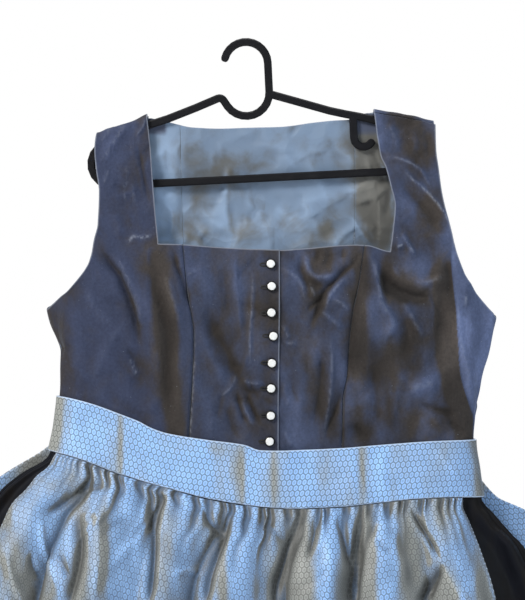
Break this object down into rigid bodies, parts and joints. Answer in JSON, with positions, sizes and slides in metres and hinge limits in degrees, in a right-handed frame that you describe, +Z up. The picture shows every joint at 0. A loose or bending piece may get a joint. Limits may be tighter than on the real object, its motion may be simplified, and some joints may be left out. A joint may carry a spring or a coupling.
{
  "type": "dirndl dress on a hanger",
  "caption": "Sleeveless dirndl dress with a square neckline, a buttoned velvet bodice, a gathered satin skirt and a tied apron, hung on a flat plastic hanger.",
  "frame": {"origin": "the point inside the top of the hanger's hook that bears on a rail", "axes": "+Z up, the dress's front faces -Y, +X towards the viewer's right as seen from the front"},
  "size_m": [0.8779, 0.2382, 1.19],
  "materials": {
    "velvet": "dark slate and taupe cotton velvet with a directional sheen",
    "lining": "pale blue-grey lining satin",
    "skirt_satin": "charcoal satin, soft sheen",
    "apron_cloth": "pale blue changeant satin with a small woven honeycomb",
    "hanger_plastic": "satin black plastic",
    "button_metal": "polished silver rim with a faceted clear stone"
  },
  "bodies": {
    "root": {"hanger": "hanger_plastic", "bodice_side_front_left": "velvet", "bodice_side_front_right": "velvet", "bodice_centre_front_left": "velvet", "bodice_centre_front_right": "velvet", "bodice_side_back_left": "velvet", "bodice_side_back_right": "velvet", "bodice_centre_back": "velvet", "lining_side_back_left": "lining", "lining_side_back_right": "lining", "lining_centre_back": "lining", "button_1": "button_metal", "button_2": "button_metal", "button_3": "button_metal", "button_4": "button_metal", "button_5": "button_metal", "button_6": "button_metal", "button_7": "button_metal", "button_8": "button_metal", "skirt_front": "skirt_satin", "skirt_back": "skirt_satin", "apron_waistband": "apron_cloth", "apron": "apron_cloth", "apron_tie_left": "apron_cloth", "apron_tie_right": "apron_cloth"}
  },
  "joints": []
}
